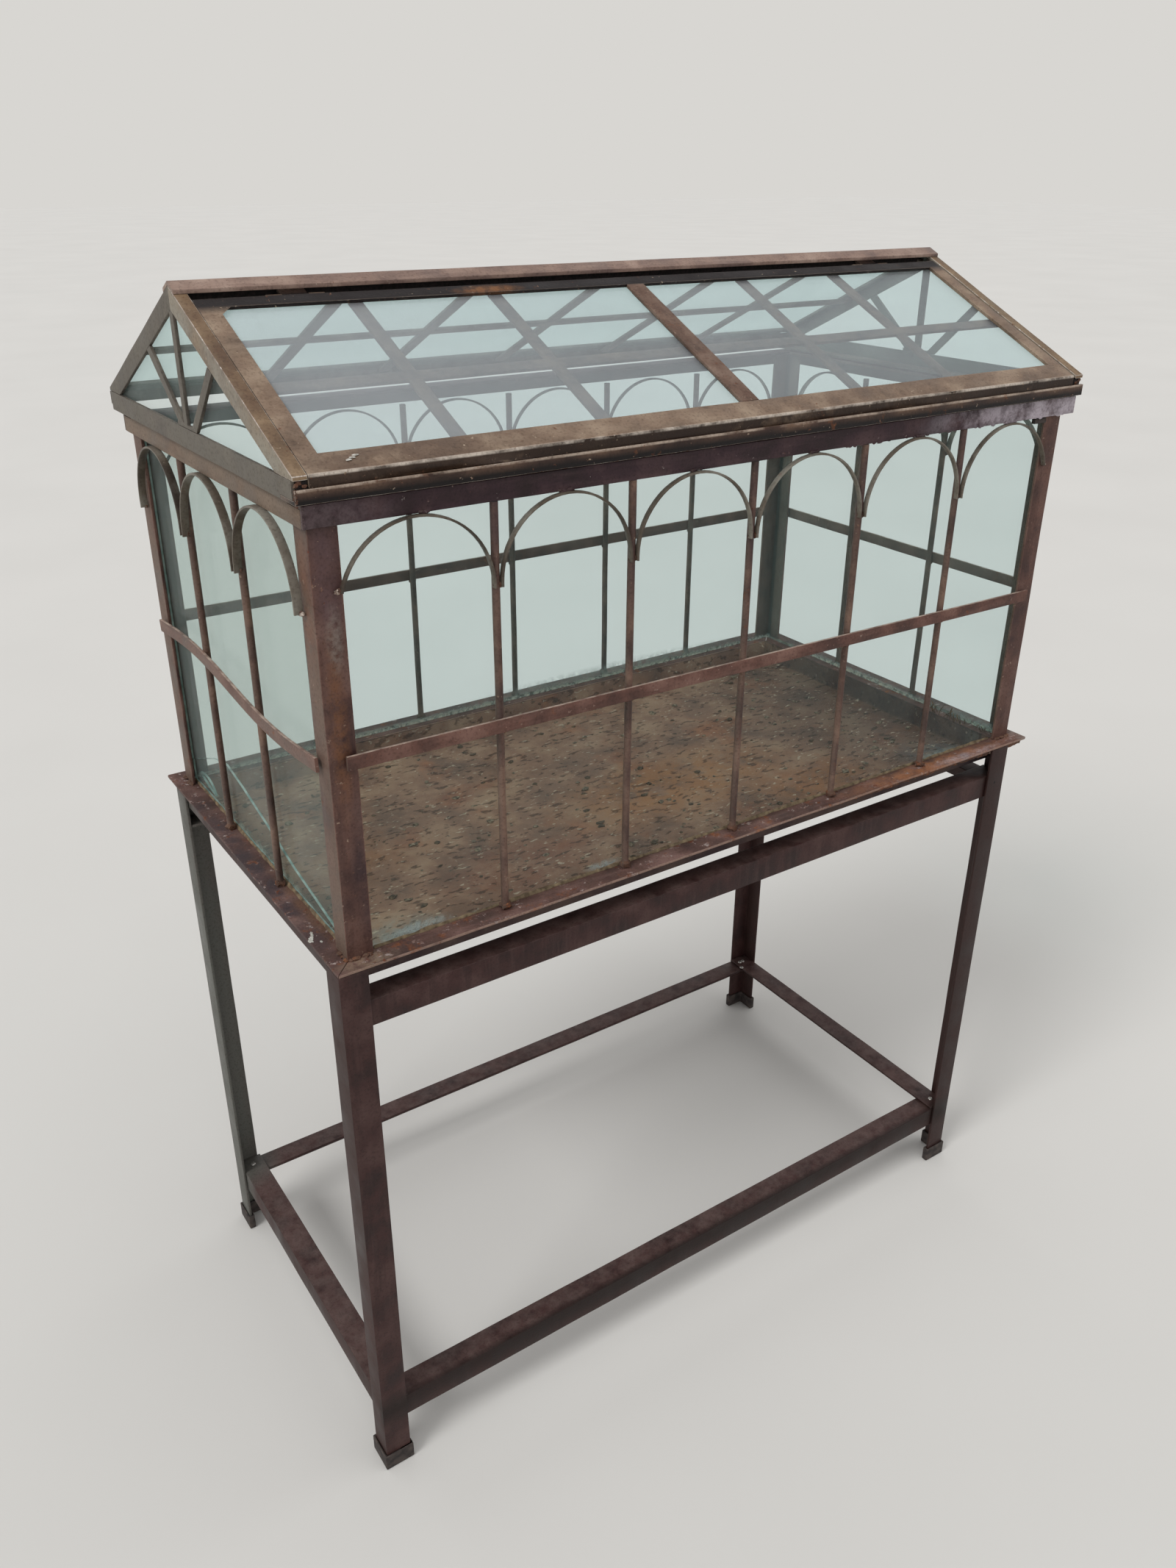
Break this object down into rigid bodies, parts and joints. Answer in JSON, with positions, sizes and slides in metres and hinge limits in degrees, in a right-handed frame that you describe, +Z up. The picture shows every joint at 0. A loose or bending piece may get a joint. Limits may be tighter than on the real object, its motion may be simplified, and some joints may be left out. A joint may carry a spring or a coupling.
{
  "type": "wardian case",
  "caption": "Glazed plant case with a gabled roof, barred and arched sides and a hinged roof sash, on an open angle-iron stand.",
  "frame": {"origin": "on the floor under the middle of the whole object's bounding box", "axes": "+X along the long side to the right, +Y from the front with the hinged sash to the back, +Z up"},
  "size_m": [0.9046, 0.4824, 1.1786],
  "materials": {
    "stand_paint": "satin brown-black paint, scuffed",
    "foot_rubber": "dull black-brown caps",
    "base_rust": "rusted flat bar with lilac-grey remains of paint",
    "tray_steel": "stained sheet steel with soil and lime marks",
    "case_paint": "old red-brown paint over angle iron",
    "top_rail_worn": "paint worn to a pale brown",
    "pane_glass": "old greenish window glass",
    "lattice_paint": "brown paint, rusted at the welds",
    "roof_paint": "rubbed red-brown paint",
    "roof_grey": "grey paint, weathered",
    "rafter_worn": "paint worn to tan primer",
    "sash_paint": "rubbed brown paint with bright edges",
    "mullion_rust": "rusty brown"
  },
  "bodies": {
    "case_on_stand": {"stand_leg_front_left": "stand_paint", "stand_leg_front_right": "stand_paint", "stand_leg_back_right": "stand_paint", "stand_leg_back_left": "stand_paint", "lower_rail_left": "stand_paint", "lower_rail_right": "stand_paint", "lower_rail_front": "stand_paint", "lower_rail_back": "stand_paint", "upper_rail_front": "stand_paint", "upper_rail_back": "stand_paint", "upper_rail_left": "stand_paint", "upper_rail_right": "stand_paint", "foot_cap_front_left": "foot_rubber", "foot_cap_front_right": "foot_rubber", "foot_cap_back_right": "foot_rubber", "foot_cap_back_left": "foot_rubber", "base_flange_front": "base_rust", "base_flange_back": "base_rust", "base_flange_left": "base_rust", "base_flange_right": "base_rust", "tray": "tray_steel", "post_front_left": "case_paint", "post_front_right": "case_paint", "post_back_right": "case_paint", "post_back_left": "case_paint", "top_rail_front": "case_paint", "top_rail_back": "case_paint", "top_rail_right": "case_paint", "top_rail_left": "top_rail_worn", "pane_front": "pane_glass", "pane_back": "pane_glass", "pane_left": "pane_glass", "pane_right": "pane_glass", "lattice_front": "lattice_paint", "lattice_right": "lattice_paint", "lattice_back": "lattice_paint", "lattice_left": "lattice_paint"},
    "roof": {"eave_rail_front": "roof_paint", "ridge_cap": "roof_paint", "ridge_bar": "roof_paint", "back_rail": "roof_paint", "eave_rail_left": "roof_grey", "eave_rail_right": "roof_grey", "rafter_back_left": "roof_grey", "rafter_back_right": "roof_grey", "gable_tracery_left": "roof_grey", "gable_tracery_right": "roof_grey", "rafter_front_left": "rafter_worn", "rafter_front_right": "rafter_worn", "gable_glass_left": "pane_glass", "gable_glass_right": "pane_glass", "glass_back_slope": "pane_glass", "lattice_back_slope": "lattice_paint"},
    "sash": {"sash_frame": "sash_paint", "sash_muntins_left": "sash_paint", "sash_muntins_right": "sash_paint", "sash_mullion": "mullion_rust", "sash_glass_left": "pane_glass", "sash_glass_right": "pane_glass"}
  },
  "joints": [
    {"name": "roof_lift", "type": "slide", "parent": "case_on_stand", "child": "roof", "axis": [0, 0, 1], "range_m": [0, 0.12]},
    {"name": "sash_hinge", "type": "hinge", "parent": "roof", "child": "sash", "pos_m": [0, -0.0096, 1.16246], "axis": [-1, 0, 0], "range_deg": [0, 70]}
  ]
}
